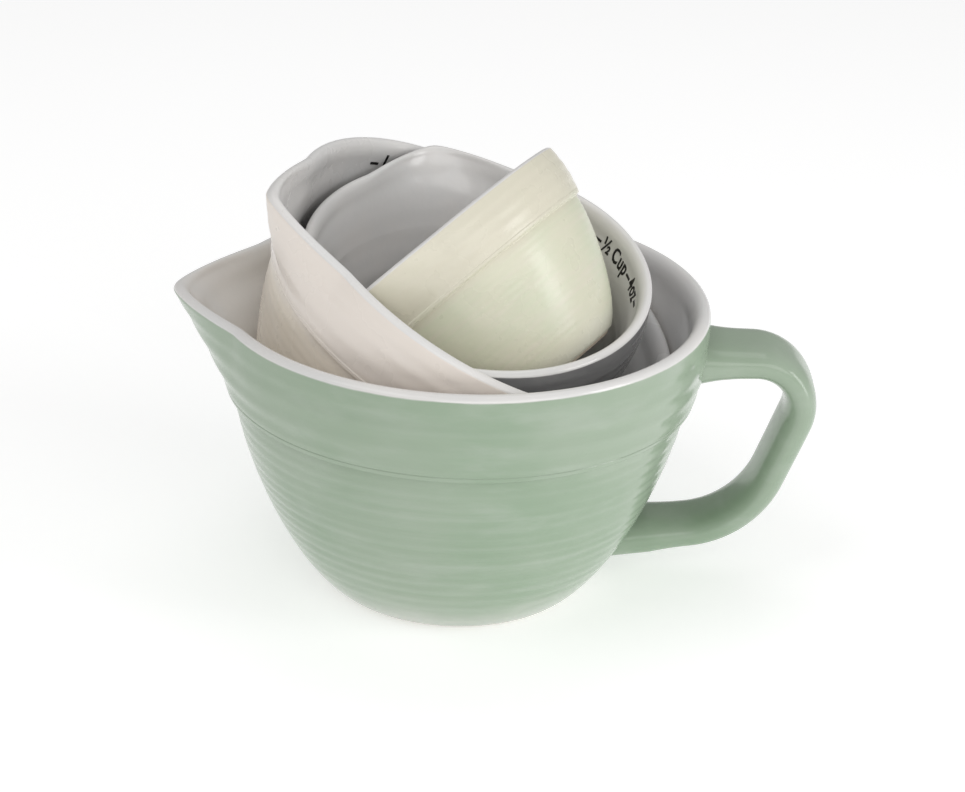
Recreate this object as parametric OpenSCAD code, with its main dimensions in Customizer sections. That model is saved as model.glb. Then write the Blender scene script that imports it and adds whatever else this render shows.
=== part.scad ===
// Nesting set of four stoneware measuring cups, shaped like small batter bowls.
// Millimetres, +Z up. The origin is the centre of the large cup's foot, on the table.
// Every cup pours towards its own -X; the large cup's handle is on +X.

/* [Large cup] */
// Diameter across the rim, where the coloured glaze ends
rim_d = 112; // [100:1:130]
// Height of the rim line, under the rounded lip
rim_h = 68.7; // [62:0.1:76]
// Height of the rounded lip above the rim line
lip_h = 1.6; // [1:0.1:2.4]
// Wall thickness at the band and the lip
wall = 4.2; // [3.6:0.1:5]
// Diameter of the foot
foot_d = 55.8; // [50:0.2:62]
// Height of the inside floor at its centre
floor_h = 5; // [4.4:0.1:7]
// Width of the flat ring that the cup stands on
foot_ring = 4.6; // [3:0.1:6]
// Depth of the recess under the foot
foot_recess = 1.4; // [0.8:0.1:1.8]

/* [Band] */
// Height where the band starts, at the small ledge
ledge_h = 49; // [45:0.5:53]
// How far the ledge steps out from the bowl below it
ledge_step = 1.6; // [0.4:0.1:2]
// How much wider the rim is than the ledge, on the radius
band_flare = 2.5; // [2:0.1:4]
// Outward bow of the band at mid height
band_bow = 0.9; // [0:0.1:1.2]

/* [Spout] */
// How far the spout's nose stands out past the rim
spout_reach = 9.6; // [6:0.1:12]
// Half of the angle that the spout takes from the rim
spout_half = 24; // [20:1:30]
// Height where the spout starts to stand out from the band
spout_from = 53.2; // [51:0.1:58]
// Radius of the spout's nose
nose_r = 3.2; // [2.6:0.1:4]
// Wall left at the nose, measured at the rim
nose_wall = 4; // [3.4:0.1:5]

/* [Handle] */
// Height of the centreline where the top arm leaves the band
arm_h = 58.3; // [55:0.1:60]
// Distance of the outer corner of the loop from the cup's axis
corner_x = 82.7; // [76:0.1:86]
// Height of the outer corner of the loop
corner_h = 59; // [57:0.1:62]
// Distance of the lower corner from the cup's axis
heel_x = 67.8; // [62:0.1:72]
// Height of the lower corner
heel_h = 16.8; // [14:0.1:20]
// Height of the centreline where the lower arm meets the bowl
root_h = 11.5; // [9:0.1:13]
// Bend radius at the outer corner
corner_r = 11; // [7:0.5:13]
// Bend radius at the lower corner
heel_r = 23; // [16:1:28]
// How much wider and thicker the strap is where it joins the cup
root_spread = 2; // [0:0.1:3]
// Strap width at the top arm
strap_w_top = 19.5; // [16:0.1:22]
// Strap width at the lower arm
strap_w_low = 16.2; // [13:0.1:19]
// Strap thickness at the top arm
strap_t_top = 8.4; // [7:0.1:9.5]
// Strap thickness along the grip and the lower arm
strap_t_low = 7.4; // [6.4:0.1:8.6]

/* [Smaller cups] */
// Rim diameter of the second cup
second_d = 96.3; // [92:0.1:97]
// Rim diameter of the third cup
third_d = 79; // [75:0.1:79.6]
// Rim diameter of the fourth cup
fourth_d = 64.4; // [60:0.1:65]

/* [How they lie] */
// Second cup: place of its foot centre
second_at = [-21.9, 4.5, 23.8];
// Second cup: lean from upright
second_lean = 28; // [26:0.1:30]
// Second cup: compass heading of the lean
second_heading = -12; // [-16:0.5:-8]
// Second cup: turn about its own axis
second_turn = 30; // [20:0.5:40]
// Third cup: place of its foot centre
third_at = [-2.4, 7.4, 32.3];
// Third cup: lean from upright
third_lean = 15.6; // [14:0.1:17]
// Third cup: compass heading of the lean
third_heading = -65.6; // [-70:0.2:-60]
// Third cup: turn about its own axis
third_turn = -8.7; // [-20:0.1:0]
// Fourth cup: place of its foot centre
fourth_at = [21, -11.6, 55.8];
// Fourth cup: lean from upright
fourth_lean = 47.4; // [46:0.1:49]
// Fourth cup: compass heading of the lean
fourth_heading = 155.7; // [152:0.1:159]
// Fourth cup: turn about its own axis
fourth_turn = -86.3; // [-90:0.1:-82]

/* [Hidden] */

$fn = 96;
rim_r = rim_d / 2;
foot_r = foot_d / 2;
band_r = rim_r - band_flare;
bowl_r = band_r - ledge_step;
lip_flat = 0.3;

belly_steps = 18;
floor_steps = 16;
band_steps = 5;
lip_steps = 5;
strap_sides = 24;
bend_steps = 9;
run_steps = 9;

// Radius of the bowed bowl at height z, from the foot up to the ledge.
function bowl_at(z) = foot_r + (bowl_r - foot_r) * pow(1 - pow(1 - z / ledge_h, 1.38), 0.7);

// Radius of the inside at height z, from the dished floor up to the ledge.
function inside_at(z) =
    (bowl_r - wall) * pow(1 - pow(1 - (z - floor_h) / (ledge_h - floor_h), 1.38), 0.25);

// Radius of the band's outside at the fraction u of its height.
function band_at(u) = band_r + band_flare * u + band_bow * sin(180 * u);

// Outside of the cup as a closed half section: foot, bowl, ledge, band and outer half of the lip.
outside_line = concat(
    [[0, 0]],
    [[foot_r - 0.7, 0], [foot_r, 0.7]],
    [for (i = [1 : belly_steps]) let (z = ledge_h * pow(i / belly_steps, 1.5)) [bowl_at(z), z]],
    [[band_r - 0.2, ledge_h], [band_r, ledge_h + 0.3]],
    [for (i = [1 : band_steps]) let (u = i / band_steps)
        [band_at(u), ledge_h + (rim_h - ledge_h) * u]],
    [for (i = [1 : lip_steps]) let (a = 90 * i / lip_steps)
        [rim_r - wall / 2 + wall / 2 * cos(a), rim_h + lip_h * sin(a)]],
    [[0, rim_h + lip_h]]
);

// Inside of the cup as a closed half section: dished floor, bowl, band and inner half of the lip.
inside_line = concat(
    [[0, floor_h]],
    [for (i = [1 : floor_steps])
        let (z = floor_h + (ledge_h - floor_h) * pow(i / floor_steps, 3)) [inside_at(z), z]],
    [[rim_r - wall, rim_h]],
    [for (i = [1 : lip_steps - 1]) let (a = 90 * i / lip_steps)
        [rim_r - wall / 2 - wall / 2 * cos(a), rim_h + lip_h * sin(a)]],
    [[rim_r - wall / 2 - lip_flat, rim_h + lip_h + 3], [0, rim_h + lip_h + 3]]
);

module outside_solid() {
    rotate_extrude() polygon(outside_line);
}

// Wedge that the spout is pinched from, rising from the ledge to the nose.
module spout_block() {
    hull() {
        translate([-(rim_r + spout_reach - nose_r), 0, rim_h - 1])
            cylinder(h = 1, r = nose_r, $fn = 32);
        translate([-(rim_r + spout_reach - nose_r), 0, rim_h])
            cylinder(h = 0.8 * lip_h, r1 = nose_r, r2 = nose_r - 1, $fn = 32);
        for (side = [-1, 1])
            rotate([0, 0, 180 + side * spout_half])
                translate([rim_r - wall / 2, 0, rim_h - 1])
                    cylinder(h = 1 + 0.8 * lip_h, r = 1.5, $fn = 24);
        translate([-(band_at((spout_from - ledge_h) / (rim_h - ledge_h)) - 2), 0, spout_from])
            sphere(r = 1.6, $fn = 24);
    }
}

// Channel inside the spout, running down into the bowl.
module spout_channel() {
    hull() {
        translate([-(rim_r + spout_reach - nose_wall - 1.4), 0, rim_h - 1.6])
            cylinder(h = 8, r = 1.4, $fn = 24);
        for (side = [-1, 1])
            rotate([0, 0, 180 + side * (spout_half - 5)])
                translate([rim_r - wall - 2.3, 0, rim_h - 1.6])
                    cylinder(h = 8, r = 1.5, $fn = 24);
        translate([-(bowl_r - wall - 1.4), 0, ledge_h + 5])
            sphere(r = 1.2, $fn = 24);
        translate([-(rim_r - 16), 0, rim_h - 1.6])
            cylinder(h = 8, r = 3, $fn = 24);
    }
}

// One cup, thrown and pinched, before any handle: the same form serves all four sizes.
module cup() {
    difference() {
        union() {
            outside_solid();
            spout_block();
        }
        rotate_extrude() polygon(inside_line);
        spout_channel();
        translate([0, 0, -1]) cylinder(h = 1 + foot_recess, r = foot_r - foot_ring);
    }
}

// Centreline of the strap handle in the XZ plane: two bends between three straight runs.
function unit(v) = v / norm(v);
function cross2(a, b) = a[0] * b[1] - a[1] * b[0];
function bend(p, q, r, radius) =
    let (
        a = unit(p - q),
        b = unit(r - q),
        half = acos(a * b) / 2,
        s = q + a * radius / tan(half),
        c = q + unit(a + b) * radius / sin(half),
        v = s - c,
        turn = sign(cross2(q - p, r - q)) * (180 - 2 * half)
    )
    [for (i = [0 : bend_steps]) let (t = turn * i / bend_steps)
        c + [v[0] * cos(t) - v[1] * sin(t), v[0] * sin(t) + v[1] * cos(t)]];
function run(p, q) = [for (i = [1 : run_steps - 1]) p + (q - p) * i / run_steps];

arm_start = [band_r - 2, arm_h - 0.1];
arm_end = [foot_r + 8, root_h];
corner = bend(arm_start, [corner_x, corner_h], [heel_x, heel_h], corner_r);
heel = bend([corner_x, corner_h], [heel_x, heel_h], arm_end, heel_r);
strap_line = concat(
    [arm_start],
    run(arm_start, corner[0]),
    corner,
    run(corner[bend_steps], heel[0]),
    heel,
    run(heel[bend_steps], arm_end),
    [arm_end]
);
strap_n = len(strap_line);
function strap_dir(i) = unit(strap_line[min(i + 1, strap_n - 1)] - strap_line[max(i - 1, 0)]);
function ease(u) = u * u * (3 - 2 * u);
function strap_w(u) = strap_w_top + (strap_w_low - strap_w_top) * ease(u);
function strap_t(u) = strap_t_top + (strap_t_low - strap_t_top) * ease(min(1, 3 * u));
// Extra size where the strap spreads onto the band and onto the bowl.
function spread(d, buried, length) = root_spread * pow(max(0, 1 - max(0, d - buried) / length), 2);
function strap_extra(i) =
    spread(norm(strap_line[i] - strap_line[0]), 3, 9)
    + spread(norm(strap_line[i] - strap_line[strap_n - 1]), 9, 9) / 2;
function soft(c) = sign(c) * pow(abs(c), 0.78);

// Section ring i of the strap: a rounded rectangle across the centreline.
function strap_ring(i) =
    let (u = i / (strap_n - 1), d = strap_dir(i), n = [-d[1], d[0]], p = strap_line[i])
    [for (k = [0 : strap_sides - 1])
        let (
            a = 360 * (k + 0.5) / strap_sides,
            t = soft(cos(a)) * (strap_t(u) + strap_extra(i)) / 2,
            y = soft(sin(a)) * (strap_w(u) + strap_extra(i)) / 2
        )
        [p[0] + n[0] * t, y, p[1] + n[1] * t]];

module strap() {
    points = [for (i = [0 : strap_n - 1]) each strap_ring(i)];
    last = (strap_n - 1) * strap_sides;
    faces = concat(
        [[for (k = [0 : strap_sides - 1]) k]],
        [for (i = [0 : strap_n - 2], k = [0 : strap_sides - 1])
            let (a = i * strap_sides + k, b = i * strap_sides + (k + 1) % strap_sides)
            [a, a + strap_sides, b + strap_sides, b]],
        [[for (k = [strap_sides - 1 : -1 : 0]) last + k]]
    );
    polyhedron(points, faces, convexity = 6);
}

// Puts a smaller cup at its place, leaning towards its heading and turned about its own axis.
module lying(at, lean, heading, turn, d) {
    translate(at)
        rotate([0, lean, heading])
            rotate([0, 0, turn])
                scale(d / rim_d)
                    children();
}

module large_bowl() {
    color("#a7c3a6") cup();
}

module large_handle() {
    color("#a7c3a6")
        difference() {
            strap();
            outside_solid();
        }
}

module second_cup() {
    color("#eadfd3") lying(second_at, second_lean, second_heading, second_turn, second_d) cup();
}

module third_cup() {
    color("#8f9091") lying(third_at, third_lean, third_heading, third_turn, third_d) cup();
}

module fourth_cup() {
    color("#d9dcbd") lying(fourth_at, fourth_lean, fourth_heading, fourth_turn, fourth_d) cup();
}

large_bowl();
large_handle();
second_cup();
third_cup();
fourth_cup();
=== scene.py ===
import math

import bmesh
import bpy
import numpy as np
from mathutils import Matrix, Vector


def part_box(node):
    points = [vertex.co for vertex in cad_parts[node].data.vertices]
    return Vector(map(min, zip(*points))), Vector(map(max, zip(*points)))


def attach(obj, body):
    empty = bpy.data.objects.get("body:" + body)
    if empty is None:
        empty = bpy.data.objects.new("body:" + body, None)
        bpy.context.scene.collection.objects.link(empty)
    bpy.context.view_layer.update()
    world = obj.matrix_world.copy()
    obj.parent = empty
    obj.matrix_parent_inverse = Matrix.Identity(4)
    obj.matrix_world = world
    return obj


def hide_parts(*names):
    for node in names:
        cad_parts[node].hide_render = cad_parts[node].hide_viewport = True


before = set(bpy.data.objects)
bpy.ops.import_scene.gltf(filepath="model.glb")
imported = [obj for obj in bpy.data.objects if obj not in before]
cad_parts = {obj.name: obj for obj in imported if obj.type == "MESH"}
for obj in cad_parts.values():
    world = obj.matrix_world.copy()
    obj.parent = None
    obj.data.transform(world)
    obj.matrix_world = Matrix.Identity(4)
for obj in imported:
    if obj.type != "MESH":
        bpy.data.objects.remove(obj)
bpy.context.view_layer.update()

MM = 0.001
scene = bpy.context.scene

# ---------------------------------------------------------------- camera

low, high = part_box("large_bowl")
AXIS_X = 0.00526
target = Vector((AXIS_X, 0.0, 0.04502))
eye = Vector((AXIS_X, -0.54236, 0.29691))
ahead = (target - eye).normalized()
level = Vector((1.0, 0.0, 0.0))
upright = level.cross(ahead)
ROLL = math.radians(2.48)
right = level * math.cos(ROLL) + upright * math.sin(ROLL)
up = upright * math.cos(ROLL) - level * math.sin(ROLL)
camera_data = bpy.data.cameras.new("camera")
camera_data.sensor_width = 36.0
camera_data.lens = 97.0
camera_data.clip_start = 0.01
camera = bpy.data.objects.new("camera", camera_data)
turn = Matrix((right, up, -ahead)).transposed()
camera.matrix_world = Matrix.Translation(eye) @ turn.to_4x4()
scene.collection.objects.link(camera)
scene.camera = camera

# ---------------------------------------------------------------- the cups' common shape, in mm at the large cup's size

RIM = 56.0        # radius of the rim line
RIM_H = 68.7      # height of the rim line
LEDGE_H = 49.0    # where the band starts
BAND_R = 53.5     # band's radius at the ledge
BOWL_R = 51.9     # bowl's radius under the ledge
FOOT_R = 27.9
WALL = 4.2
LIP_H = 1.6
FLOOR_H = 5.0
FOOT_RING = 4.6
RECESS = 1.4
REACH = 9.6
HALF = 26.5
SPOUT_FROM = 52.6


def outside(z):
    """Outer radius of the round body at height z."""
    low_part = FOOT_R + (BOWL_R - FOOT_R) * (1 - (1 - np.clip(z / LEDGE_H, 0, 1)) ** 1.38) ** 0.70
    u = np.clip((z - LEDGE_H) / (RIM_H - LEDGE_H), 0, 1)
    band = BAND_R + (RIM - BAND_R) * u + 0.9 * np.sin(math.pi * u)
    # the ledge is a soft shoulder about a millimetre tall
    k = np.clip((z - (LEDGE_H - 0.35)) / 0.9, 0, 1)
    k = k * k * (3 - 2 * k)
    return low_part * (1 - k) + band * k


def inside(z):
    """Inner radius of the round body at height z."""
    u = np.clip((z - FLOOR_H) / (LEDGE_H - FLOOR_H), 0, 1)
    low_part = (BOWL_R - WALL) * (1 - (1 - u) ** 1.38) ** 0.25
    v = np.clip((z - LEDGE_H) / (RIM_H - LEDGE_H), 0, 1)
    return np.where(z < LEDGE_H, low_part, (BOWL_R - WALL) + (RIM - BOWL_R) * v)


def spout(az):
    """How far the rim stands out at azimuth az; the spout points to az = pi."""
    a = np.degrees(np.abs(np.mod(az, 2 * math.pi) - math.pi))
    a = np.sqrt(a * a + 4.0) - 2.0
    return REACH * np.clip(1 - a / HALF, 0, 1) ** 1.35


def channel(az):
    """How far the inside follows the spout: wider and softer than the outside."""
    a = np.degrees(np.abs(np.mod(az, 2 * math.pi) - math.pi))
    return 0.93 * REACH * np.cos(np.clip(a / 36.0, 0, 1) * math.pi / 2) ** 2.6


def channel_share(z):
    u = np.clip((z - 46.0) / (RIM_H - 46.0), 0, 1)
    return u ** 1.6


def spout_share(z):
    return np.clip((z - SPOUT_FROM) / (RIM_H - SPOUT_FROM), 0, 1)


def columns(count):
    """Azimuths, packed closer together round the spout."""
    t = np.arange(count) / count * 2 * math.pi
    return t + 0.42 * np.sin(t)


def waver(az, z, seed):
    """Slow hand-made unevenness, about -1 to 1."""
    return (
        0.5 * np.sin(2 * az + 0.05 * z + 1.7 * seed)
        + 0.3 * np.sin(3 * az - 0.09 * z + 2.3 * seed)
        + 0.2 * np.sin(5 * az + 0.13 * z + 4.1 * seed)
    )


def ribs(az, z, seed):
    """Throwing ribs on the bowl and softer ridges on the band: height from -1 to 1, and how strong they are."""
    lift = z + 0.35 * np.sin(az + seed) + 0.25 * np.sin(2 * az + 1.3 * seed)
    pitch = 2.9
    phase = 2 * math.pi * lift / pitch + 0.6 * np.sin(0.21 * z + seed)
    fine = np.sin(phase) + 0.2 * np.sin(2 * phase + 0.8) + 0.35 * np.sin(0.43 * phase + 2.0 * np.sin(az + seed))
    on_bowl = np.clip((z - 5.0) / 6.0, 0, 1) * np.clip((LEDGE_H - 1.6 - z) / 2.0, 0, 1)
    wide = np.sin(2 * math.pi * (lift - LEDGE_H - 1.0) / 5.0)
    on_band = np.clip((z - LEDGE_H - 1.2) / 2.0, 0, 1) * np.clip((RIM_H - 1.5 - z) / 2.5, 0, 1)
    vary = 0.75 + 0.25 * np.sin(az * 3 + 0.4 * z + seed) * np.sin(az * 1 - 0.15 * z)
    return fine * on_bowl * vary, wide * on_band * vary


def own_place(mesh, points, scale):
    """Keeps each point's place in the cup's own frame, at the large cup's size, for the materials."""
    attribute = mesh.attributes.new("place", "FLOAT_VECTOR", "POINT")
    attribute.data.foreach_set("vector", (np.asarray(points, float) / scale).astype(np.float32).reshape(-1))


def cup_mesh(name, scale, seed, count, pose, rib):
    """One cup as a closed mesh, built in its own frame with its foot centre at the origin and its spout towards -X, then laid at its pose. Metres."""
    az = columns(count)
    rings = []     # (radius over az, z over az, white, bare, crest)

    def ring(r, z, white=0.0, bare=0.0, crest=0.0):
        r = np.broadcast_to(np.asarray(r, float), az.shape)
        z = np.broadcast_to(np.asarray(z, float), az.shape)
        crest = np.broadcast_to(np.asarray(crest, float), az.shape)
        rings.append((r, z, np.full_like(az, white), np.full_like(az, bare), crest))

    flat_r = FOOT_R - FOOT_RING
    # under the foot: glazed recess, bare ring
    for r in (2.0, 8.0, 14.0, 19.0, flat_r - 1.6):
        ring(r, RECESS, white=1.0)
    ring(flat_r - 0.7, RECESS - 0.05, white=1.0)
    ring(flat_r - 0.25, RECESS - 0.3, white=1.0)
    ring(flat_r, RECESS - 0.8, bare=1.0)
    ring(flat_r + 0.1, 0.35, bare=1.0)
    ring(flat_r + 0.45, 0.04, bare=1.0)
    ring(flat_r + 0.9, 0.0, bare=1.0)
    ring(FOOT_R - 1.6, 0.0, bare=1.0)
    ring(FOOT_R - 0.75, 0.06, bare=1.0)
    ring(FOOT_R - 0.25, 0.35, bare=1.0)
    ring(FOOT_R + 0.15, 0.8, bare=0.6)
    # outside wall
    z_out = np.concatenate([
        np.arange(1.3, LEDGE_H - 1.2, 0.42),
        np.arange(LEDGE_H - 1.2, LEDGE_H + 1.5, 0.15),
        np.arange(LEDGE_H + 1.5, RIM_H - 0.2, 0.5),
        [RIM_H],
    ])
    for z in z_out:
        fine, wide = ribs(az, z, seed)
        r = outside(z) + spout_share(z) * spout(az)
        settle = min(1.0, z / 12.0)
        r = r + rib * (0.075 * fine + 0.17 * wide) + 0.12 * settle * waver(az, z, seed)
        # crest also darkens the glaze in the grooves; on the band these darker grooves are painted dark reflection
        # streaks
        ring(r, z, crest=fine + 0.8 * wide, white=0.0)
    # rounded lip: a quick turn outside, a long easy turn into the cup
    nose = spout(az)
    hollow = channel(az)
    sag = 0.16 * waver(az, 0.0, seed + 3.0)
    out_w, in_w, in_h = 1.75, WALL - 1.75, 5.2
    for a in np.radians(np.arange(8, 90, 9.0)):
        r = RIM - out_w + out_w * math.cos(a)
        white = min(1.0, max(0.0, math.degrees(a) / 30.0))
        ring(r + nose + 0.12 * waver(az, RIM_H, seed) * math.cos(a), RIM_H + (LIP_H + sag) * math.sin(a), white=white)
    top = RIM_H + LIP_H
    for a in np.radians(np.concatenate([[0.0, 4.0, 8.0], np.arange(13, 91, 6.5)])):
        u = math.sin(a)
        z = top - in_h * (1 - math.cos(a))
        reach = nose * (1 - u) + hollow * channel_share(z) * u
        ring(RIM - out_w - in_w * u + reach, z + sag * math.cos(a), white=1.0)
    # inside wall
    z_in = np.concatenate([
        np.arange(RIM_H + LIP_H - in_h - 0.7, LEDGE_H + 1.5, -0.8),
        np.arange(LEDGE_H + 1.5, LEDGE_H - 1.5, -0.4),
        np.arange(LEDGE_H - 1.5, 14.0, -0.9),
        np.arange(14.0, 7.5, -0.5),
        np.arange(7.5, FLOOR_H + 0.3, -0.25),
        [FLOOR_H + 0.18, FLOOR_H + 0.08, FLOOR_H + 0.02],
    ])
    for z in z_in:
        r = inside(np.float64(z)) + hollow * channel_share(z)
        # ease the wall into the foot of the lip
        r = r + (RIM - WALL - inside(np.float64(z))) * np.clip((z - 56.0) / 9.0, 0, 1) ** 2
        soft = np.clip((z - 9.0) / 8.0, 0, 1)
        r = r + soft * (0.05 * np.sin(2 * math.pi * (z + 0.6 * np.sin(az)) / 6.2) + 0.06 * waver(az, z, seed + 5.0))
        ring(r, z, white=1.0)
    last = float(inside(np.float64(FLOOR_H + 0.02)))
    for share in (0.8, 0.55, 0.3, 0.1):
        ring(last * share, FLOOR_H, white=1.0)

    n = len(rings)
    r = np.array([k[0] for k in rings])
    z = np.array([k[1] for k in rings])
    x = r * np.cos(az)
    y = r * np.sin(az)
    points = np.stack([x, y, z], axis=-1).reshape(-1, 3)
    points = np.vstack([points, [[0, 0, RECESS]], [[0, 0, FLOOR_H]]]) * (scale * MM)
    i = np.arange(n - 1)[:, None] * count
    j = np.arange(count)[None, :]
    k = (np.arange(count)[None, :] + 1) % count
    quads = np.stack([i + j, i + k, i + count + k, i + count + j], axis=-1).reshape(-1, 4)
    faces = quads.tolist()
    top = (n - 1) * count
    bottom_pole, floor_pole = n * count, n * count + 1
    for a in range(count):
        b = (a + 1) % count
        faces.append([bottom_pole, b, a])
        faces.append([top + a, top + b, floor_pole])
    mesh = bpy.data.meshes.new(name)
    mesh.from_pydata(points.tolist(), [], faces)
    own_place(mesh, points, scale)
    mesh.transform(pose)
    mesh.update()
    for label, column, ends in (("white", 2, (1.0, 1.0)), ("bare", 3, (0.0, 0.0)), ("crest", 4, (0.0, 0.0))):
        values = np.concatenate([np.array([k[column] for k in rings]).reshape(-1), ends])
        attribute = mesh.attributes.new(label, "FLOAT", "POINT")
        attribute.data.foreach_set("value", values.astype(np.float32))
    mesh.polygons.foreach_set("use_smooth", [True] * len(mesh.polygons))
    return mesh


# ---------------------------------------------------------------- materials

class Nodes:
    """Small helper that builds a shader tree."""

    def __init__(self, name):
        self.material = bpy.data.materials.new(name)
        self.material.use_nodes = True
        self.tree = self.material.node_tree
        self.shader = self.tree.nodes["Principled BSDF"]
        self.x = -200

    def add(self, kind, **settings):
        node = self.tree.nodes.new(kind)
        self.x -= 40
        node.location = (self.x, 0)
        for key, value in settings.items():
            setattr(node, key, value)
        return node

    def link(self, a, b):
        self.tree.links.new(a, b)

    def attribute(self, name):
        return self.add("ShaderNodeAttribute", attribute_name=name).outputs["Fac"]

    def place(self, stretch=(1, 1, 1)):
        coords = self.add("ShaderNodeAttribute", attribute_name="place").outputs["Vector"]
        mapping = self.add("ShaderNodeMapping")
        mapping.inputs["Scale"].default_value = stretch
        self.link(coords, mapping.inputs["Vector"])
        return mapping.outputs["Vector"]

    def noise(self, vector, scale, detail=3.0, rough=0.55):
        node = self.add("ShaderNodeTexNoise")
        node.inputs["Scale"].default_value = scale
        node.inputs["Detail"].default_value = detail
        node.inputs["Roughness"].default_value = rough
        self.link(vector, node.inputs["Vector"])
        return node.outputs["Fac"]

    def ramp(self, value, a, b, low=0.0, high=1.0):
        node = self.add("ShaderNodeMapRange", clamp=True, interpolation_type="SMOOTHSTEP")
        node.inputs["From Min"].default_value = a
        node.inputs["From Max"].default_value = b
        node.inputs["To Min"].default_value = low
        node.inputs["To Max"].default_value = high
        self.link(value, node.inputs["Value"])
        return node.outputs["Result"]

    def math(self, operation, a, b=None):
        node = self.add("ShaderNodeMath", operation=operation)
        for socket, value in zip(node.inputs, (a, b)):
            if value is None:
                continue
            if isinstance(value, (int, float)):
                socket.default_value = value
            else:
                self.link(value, socket)
        return node.outputs["Value"]

    def mix(self, factor, a, b, blend="MIX"):
        node = self.add("ShaderNodeMix", data_type="RGBA", blend_type=blend)
        for socket, value in ((node.inputs[0], factor), (node.inputs[6], a), (node.inputs[7], b)):
            if isinstance(value, (int, float)):
                socket.default_value = value
            elif isinstance(value, tuple):
                socket.default_value = value + (1.0,)
            else:
                self.link(value, socket)
        return node.outputs[2]

    def bump(self, height, strength, distance, under=None):
        node = self.add("ShaderNodeBump")
        node.inputs["Strength"].default_value = strength
        node.inputs["Distance"].default_value = distance
        self.link(height, node.inputs["Height"])
        if under is not None:
            self.link(under, node.inputs["Normal"])
        return node.outputs["Normal"]


WHITE = (0.80, 0.783, 0.765)
CLAY = (0.62, 0.55, 0.46)


def glaze(name, tones, foot=(3.0, 13.0), thin=None, band=None, gloss=(0.12, 0.24)):
    """A stoneware glaze: pools deeper between the ribs, breaks paler on them, thins out near the foot and breaks to
    white at the lip. The darker grooves are partly real pooling and partly painted reflection: on the band they paint
    dark reflection streaks.
    """
    main, deep, pale = tones
    m = Nodes(name)
    here = m.place()
    high_ = m.add("ShaderNodeSeparateXYZ")
    m.link(here, high_.inputs["Vector"])
    z = m.math("MULTIPLY", high_.outputs["Z"], 1000.0)
    clouds = m.noise(here, 26.0, 3.0)
    patches = m.noise(m.place((1, 1, 3.2)), 55.0, 4.0)
    colour = m.mix(m.ramp(clouds, 0.38, 0.70, 0.0, 0.8), main, deep)
    colour = m.mix(m.ramp(patches, 0.44, 0.74, 0.0, 0.40), colour, pale)
    crest = m.attribute("crest")
    colour = m.mix(m.ramp(crest, 0.15, 1.25, 0.0, 0.22), colour, pale)
    # darker glaze in the grooves: real pooling on the bowl's ribs, and on the band's ridges also painted dark
    # reflection streaks
    colour = m.mix(m.ramp(crest, -0.25, -1.25, 0.0, 0.20), colour, deep)
    if band is not None:
        colour = m.mix(m.ramp(m.math("ADD", z, m.math("MULTIPLY", patches, 8.0)), 49.5, 56.0, 0.0, 0.75), colour, band)
    # glaze thins near the foot, unevenly
    ragged = m.math("ADD", z, m.math("MULTIPLY", m.math("SUBTRACT", patches, 0.5), 14.0))
    if thin is not None:
        colour = m.mix(m.ramp(ragged, foot[1], foot[0], 0.0, 0.72), colour, thin)
    # fine specks in the glaze
    specks = m.noise(here, 900.0, 1.0)
    colour = m.mix(m.ramp(specks, 0.70, 0.80, 0.0, 0.12), colour, deep)
    # white inside and on the lip
    blotch = m.noise(here, 40.0, 3.0)
    white = m.mix(m.ramp(blotch, 0.35, 0.7), WHITE, (0.77, 0.765, 0.755))
    white = m.mix(m.ramp(specks, 0.74, 0.82, 0.0, 0.10), white, (0.45, 0.42, 0.38))
    edge = m.math("ADD", m.attribute("white"), m.math("MULTIPLY", m.math("SUBTRACT", patches, 0.5), 0.7))
    colour = m.mix(m.ramp(edge, 0.25, 0.75), colour, white)
    bare = m.ramp(m.attribute("bare"), 0.3, 0.8)
    grit = m.noise(here, 1500.0, 4.0)
    colour = m.mix(bare, colour, m.mix(m.ramp(grit, 0.35, 0.65), CLAY, (0.50, 0.43, 0.35)))
    m.link(colour, m.shader.inputs["Base Color"])
    smear = m.noise(here, 70.0, 3.0)
    rough = m.ramp(smear, 0.3, 0.75, *gloss)
    rough = m.math("ADD", rough, m.math("MULTIPLY", bare, 0.55))
    m.link(rough, m.shader.inputs["Roughness"])
    m.shader.inputs["IOR"].default_value = 1.52
    m.shader.inputs["Specular IOR Level"].default_value = 0.5
    soft = m.bump(m.noise(here, 180.0, 2.0), 0.18, 0.0004)
    fine = m.bump(m.noise(here, 900.0, 2.0), 0.06, 0.0001, soft)
    m.link(fine, m.shader.inputs["Normal"])
    return m.material


def ink(name):
    """Fired-on black decal: slightly uneven in depth, with the glaze's gloss."""
    m = Nodes(name)
    here = m.place()
    colour = m.mix(m.ramp(m.noise(here, 1600.0, 3.0), 0.35, 0.75), (0.008, 0.008, 0.009), (0.035, 0.033, 0.032))
    m.link(colour, m.shader.inputs["Base Color"])
    m.link(m.ramp(m.noise(here, 700.0, 2.0), 0.3, 0.7, 0.22, 0.38), m.shader.inputs["Roughness"])
    m.link(m.bump(m.noise(here, 1400.0, 2.0), 0.1, 0.00005), m.shader.inputs["Normal"])
    return m.material


GREEN = ((0.338, 0.420, 0.320), (0.275, 0.375, 0.262), (0.425, 0.490, 0.412))
PINK = ((0.870, 0.795, 0.690), (0.850, 0.775, 0.650), (0.880, 0.840, 0.770))
GREY = ((0.190, 0.190, 0.192), (0.150, 0.150, 0.153), (0.27, 0.27, 0.27))
LIME = ((0.715, 0.710, 0.560), (0.645, 0.690, 0.520), (0.755, 0.700, 0.600))

# ---------------------------------------------------------------- cups

def lie(at, lean, heading, turned):
    return (
        Matrix.Translation(Vector(at) * MM)
        @ Matrix.Rotation(math.radians(heading), 4, "Z")
        @ Matrix.Rotation(math.radians(lean), 4, "Y")
        @ Matrix.Rotation(math.radians(turned), 4, "Z")
    )


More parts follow.
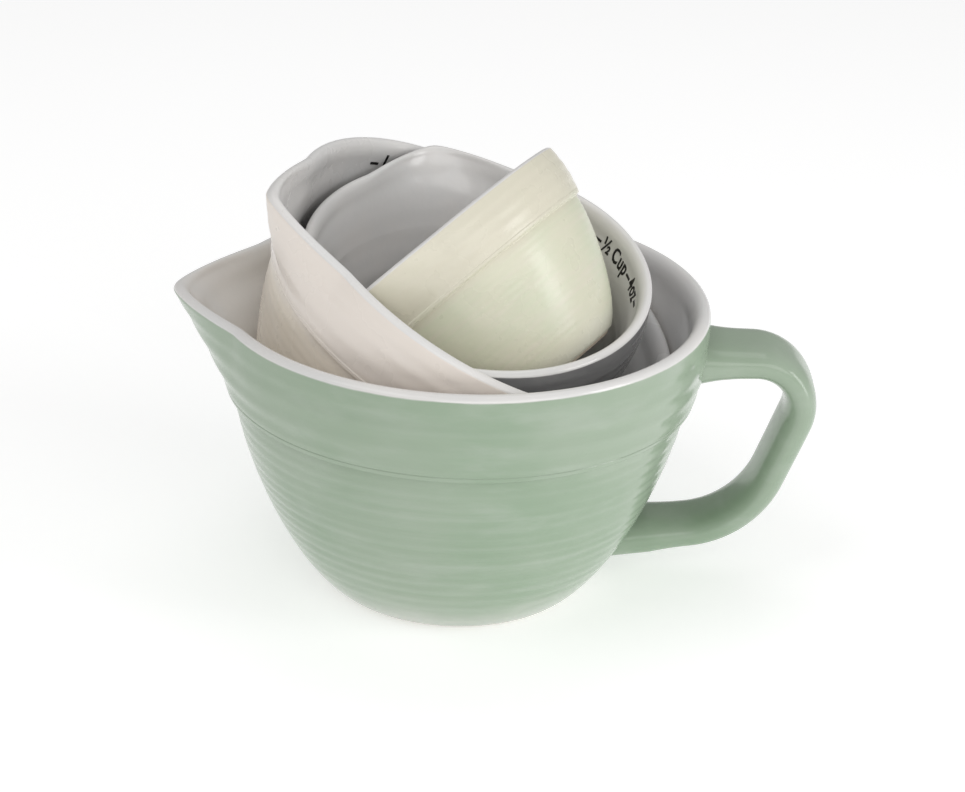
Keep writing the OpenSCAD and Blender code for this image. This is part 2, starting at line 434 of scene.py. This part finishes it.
CUPS = {
    "large_bowl": dict(body="large_cup", slot="green_glaze", d=112.0, pose=Matrix.Identity(4), seed=0.4, count=256, rib=1.0,
                       tones=GREEN, thin=(0.60, 0.61, 0.57), band=None, foot=(-1.0, 13.0)),
    "second_cup": dict(body="second_cup", slot="pink_glaze", d=96.3, pose=lie((-21.9, 4.5, 23.8), 28, -12, 30), seed=1.9,
                       count=240, rib=0.45, tones=PINK, thin=(0.86, 0.83, 0.77), band=(0.850, 0.785, 0.735), foot=(2.0, 13.0), gloss=(0.22, 0.36)),
    "third_cup": dict(body="third_cup", slot="grey_glaze", d=79.0, pose=lie((-2.4, 7.4, 32.3), 15.6, -65.6, -8.7), seed=3.1,
                      count=224, rib=0.8, tones=GREY, thin=(0.46, 0.46, 0.45), band=None, foot=(2.0, 12.0)),
    "fourth_cup": dict(body="fourth_cup", slot="pale_lime_glaze", d=64.4, pose=lie((21.0, -11.6, 55.8), 47.4, 155.7, -86.3),
                       seed=4.6, count=208, rib=0.55, tones=LIME, thin=(0.74, 0.73, 0.64), band=(0.740, 0.695, 0.580), foot=(2.0, 12.0), gloss=(0.24, 0.40)),
}

for node, c in CUPS.items():
    scale = c["d"] / 112.0
    c["scale"] = scale
    piece = bpy.data.objects.new(node + "_glazed", cup_mesh(node + "_glazed", scale, c["seed"], c["count"], c["pose"], c["rib"]))
    scene.collection.objects.link(piece)
    piece.data.materials.append(glaze(node + "_glaze", c["tones"], c["foot"], c["thin"], c["band"], c.get("gloss", (0.12, 0.24))))
    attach(piece, c["body"])
    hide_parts(node)

# ---------------------------------------------------------------- handle

def along(points, step):
    """The polyline resampled at equal steps."""
    points = np.array(points, float)
    runs = np.concatenate([[0], np.cumsum(np.linalg.norm(np.diff(points, axis=0), axis=1))])
    t = np.arange(0, runs[-1], step)
    return np.stack([np.interp(t, runs, points[:, 0]), np.interp(t, runs, points[:, 1])], axis=-1)


def bend(p, q, r, radius, steps=24):
    p, q, r = (np.array(v, float) for v in (p, q, r))
    a = (p - q) / np.linalg.norm(p - q)
    b = (r - q) / np.linalg.norm(r - q)
    half = math.acos(float(a @ b)) / 2
    s = q + a * radius / math.tan(half)
    c = q + (a + b) / np.linalg.norm(a + b) * radius / math.sin(half)
    v = s - c
    way = np.sign((q - p)[0] * (r - q)[1] - (q - p)[1] * (r - q)[0])
    turn_ = way * (math.pi - 2 * half)
    out = []
    for i in range(steps + 1):
        t = turn_ * i / steps
        out.append(c + np.array([v[0] * math.cos(t) - v[1] * math.sin(t), v[0] * math.sin(t) + v[1] * math.cos(t)]))
    return out


def spread(d, buried, length):
    """Extra width and thickness where the strap spreads onto the cup, d mm along it from its end."""
    return 2.0 * max(0.0, 1 - max(0.0, d - buried) / length) ** 2


def handle_mesh(name):
    start, end = (BAND_R - 2.0, 58.2), (FOOT_R + 8.0, 11.5)
    corner, heel = (82.7, 59.0), (67.8, 16.8)
    line = [start] + bend(start, corner, heel, 11.0) + bend(corner, heel, end, 23.0) + [end]
    line = along(line, 0.7)
    n = len(line)
    sides = 72
    steps = np.gradient(line, axis=0)
    steps /= np.linalg.norm(steps, axis=1)[:, None]
    for _ in range(4):
        steps[1:-1] = (steps[:-2] + 2 * steps[1:-1] + steps[2:]) / 4
        steps /= np.linalg.norm(steps, axis=1)[:, None]
    points, crest, white = [], [], []
    for i in range(n):
        u = i / (n - 1)
        ease = u * u * (3 - 2 * u)
        v = min(1.0, 3 * u)
        w = 19.5 + (16.2 - 19.5) * ease
        t = 8.4 + (7.4 - 8.4) * v * v * (3 - 2 * v)
        extra = spread(0.7 * i, 3.0, 9.0) + 0.5 * spread(0.7 * (n - 1 - i), 9.0, 9.0)
        w, t = w + extra, t + extra
        d = steps[i]
        side = np.array([-d[1], d[0]])
        for k in range(sides):
            a = 2 * math.pi * (k + 0.5) / sides
            c, s = math.cos(a), math.sin(a)
            out = math.copysign(abs(c) ** 0.78, c)
            across = math.copysign(abs(s) ** 0.78, s)
            # a shallow dish down the outer face, and slight hand-pulled unevenness
            dish = -0.25 * max(0.0, c) ** 3 * (1 - across * across) ** 2
            uneven = 0.07 * math.sin(9.0 * u + 2.0 * a) + 0.05 * math.sin(17.0 * u - a)
            x = line[i] + side * (out * (t / 2 + uneven * 0.6) + dish)
            points.append((x[0], across * (w / 2 + uneven), x[1]))
            crest.append(1.2 * (abs(out) * abs(across)) ** 3)
            white.append(0.0)
    faces = []
    for i in range(n - 1):
        for k in range(sides):
            a, b = i * sides + k, i * sides + (k + 1) % sides
            faces.append((a, a + sides, b + sides, b))
    faces.append(tuple(range(sides)))
    faces.append(tuple((n - 1) * sides + k for k in range(sides - 1, -1, -1)))
    mesh = bpy.data.meshes.new(name)
    points = np.array(points) * MM
    mesh.from_pydata(points.tolist(), [], faces)
    own_place(mesh, points, 1.0)
    mesh.update()
    for label, values in (("white", white), ("bare", white), ("crest", crest)):
        attribute = mesh.attributes.new(label, "FLOAT", "POINT")
        attribute.data.foreach_set("value", np.array(values, np.float32))
    mesh.polygons.foreach_set("use_smooth", [True] * len(mesh.polygons))
    return mesh


handle = bpy.data.objects.new("large_handle_glazed", handle_mesh("large_handle_glazed"))
scene.collection.objects.link(handle)
handle.data.materials.append(glaze("large_handle_glaze", GREEN, (-60.0, -50.0), None, None))
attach(handle, "large_cup")
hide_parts("large_handle")

# ---------------------------------------------------------------- capacity marks

def wall_point(az, z, lift, scale):
    """A point lift mm inside the inner wall, at azimuth az and height z of the large cup's shape."""
    r = float(inside(np.float64(z)) + channel_share(z) * channel(np.float64(az)))
    r += (RIM - WALL - float(inside(np.float64(z)))) * min(1.0, max(0.0, (z - 56.0) / 9.0)) ** 2
    foot = RIM_H + LIP_H - 5.2
    if z > foot:
        u = math.acos(max(-1.0, 1 - (RIM_H + LIP_H - z) / 5.2))
        r += (WALL - 1.75) * (1 - math.sin(u))
    return Vector(((r * scale - lift) * math.cos(az), (r * scale - lift) * math.sin(az), z * scale))


def mark(name, body, text, middle, span, height, size, scale, pose):
    """A line of text wrapped on the inner wall over span degrees, reading left to right from inside the cup, letter tops towards the rim. size is in mm, height in the large cup's shape."""
    font = bpy.data.curves.new(name, "FONT")
    font.body = text
    font.size = size
    font.extrude = 0.06
    font.resolution_u = 3
    font.offset = 0.022 * size
    font.space_character = 1.10
    font.space_word = 0.35
    font.align_x = "CENTER"
    font.align_y = "CENTER"
    lettering = bpy.data.objects.new(name + "_flat", font)
    scene.collection.objects.link(lettering)
    bpy.context.view_layer.update()
    mesh = bpy.data.meshes.new_from_object(lettering.evaluated_get(bpy.context.evaluated_depsgraph_get()))
    bpy.data.objects.remove(lettering)
    mesh.name = name
    bm = bmesh.new()
    bm.from_mesh(mesh)
    bmesh.ops.remove_doubles(bm, verts=bm.verts, dist=1e-5)
    bmesh.ops.triangulate(bm, faces=bm.faces)
    for _ in range(3):
        long_edges = [e for e in bm.edges if e.calc_length() > 0.9]
        if not long_edges:
            break
        bmesh.ops.subdivide_edges(bm, edges=long_edges, cuts=1)
        bmesh.ops.triangulate(bm, faces=[f for f in bm.faces if len(f.verts) > 3])
    r = float(inside(np.float64(height))) * scale
    # slope of the wall, so that letters keep their height along it
    tilt = float(inside(np.float64(height + 1)) - inside(np.float64(height - 1))) / 2
    run = 1 / math.sqrt(1 + tilt * tilt)
    wide = [v.co.x for v in bm.verts]
    centre = (max(wide) + min(wide)) / 2
    spread = math.radians(span) / (max(wide) - min(wide))
    for v in bm.verts:
        az = math.radians(middle) - (v.co.x - centre) * spread
        z = height + v.co.y * run / scale
        v.co = wall_point(az, z, 0.03 + v.co.z, scale) * MM
    bmesh.ops.recalc_face_normals(bm, faces=bm.faces)
    bm.to_mesh(mesh)
    bm.free()
    own_place(mesh, [v.co for v in mesh.vertices], scale)
    mesh.transform(pose)
    mesh.materials.clear()
    mesh.materials.append(INK)
    piece = bpy.data.objects.new(name, mesh)
    scene.collection.objects.link(piece)
    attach(piece, body)
    return piece


INK = ink("capacity_mark_ink")
for node, text, middle, span, height, size in (
    ("large_bowl", "– 1½ Cup – 12oz –", 90.0, 40.0, 59.6, 6.4),
    ("second_cup", "– 1 Cup – 8oz –", 97.0, 38.0, 64.3, 5.6),
    ("third_cup", "– ½ Cup – 4oz –", 94.2, 43.0, 62.9, 5.1),
    ("fourth_cup", "– ¼ Cup – 2oz –", 90.0, 38.0, 60.6, 3.9),
):
    c = CUPS[node]
    mark(c["body"] + "_mark", c["body"], text, middle, span, height, size, c["scale"], c["pose"])

# ---------------------------------------------------------------- floor and light

def floor():
    bm = bmesh.new()
    bmesh.ops.create_circle(bm, cap_ends=True, segments=96, radius=3.0)
    mesh = bpy.data.meshes.new("floor")
    bm.to_mesh(mesh)
    bm.free()
    ground = bpy.data.objects.new("floor", mesh)
    scene.collection.objects.link(ground)
    m = Nodes("floor_paper")
    here = m.add("ShaderNodeTexCoord").outputs["Object"]
    m.link(m.mix(m.noise(here, 3.0), (0.93, 0.93, 0.93), (0.91, 0.91, 0.91)), m.shader.inputs["Base Color"])
    m.shader.inputs["Roughness"].default_value = 0.9
    m.shader.inputs["Specular IOR Level"].default_value = 0.1
    m.shader.inputs["Emission Color"].default_value = (1.0, 1.0, 1.0, 1.0)
    m.shader.inputs["Emission Strength"].default_value = 0.38
    mesh.materials.append(m.material)
    return ground


floor()

world = bpy.data.worlds.new("world")
scene.world = world
world.use_nodes = True
world.node_tree.nodes["Background"].inputs["Color"].default_value = (1.0, 1.0, 1.0, 1.0)
world.node_tree.nodes["Background"].inputs["Strength"].default_value = 0.37


def softbox(name, at, towards, size, power, colour=(1, 1, 1)):
    data = bpy.data.lights.new(name, "AREA")
    data.shape = "RECTANGLE"
    data.size, data.size_y = size
    data.energy = power
    data.color = colour
    lamp = bpy.data.objects.new(name, data)
    scene.collection.objects.link(lamp)
    way = Vector(towards) - Vector(at)
    lamp.matrix_world = Matrix.Translation(Vector(at)) @ way.to_track_quat("-Z", "Y").to_matrix().to_4x4()
    return lamp


softbox("front", (0.45, -1.30, 0.75), (0, 0, 0.04), (1.5, 0.8), 5.8, (1.0, 0.99, 0.975))
softbox("right", (1.10, -0.40, 0.35), (0, 0, 0.04), (0.4, 0.8), 4.2)
softbox("left", (-0.50, -0.45, 1.05), (0, 0, 0.06), (0.7, 0.6), 2.3)
softbox("top", (0.0, 0.25, 0.95), (0, 0, 0.04), (0.7, 0.5), 1.0)

scene.view_settings.view_transform = "Standard"
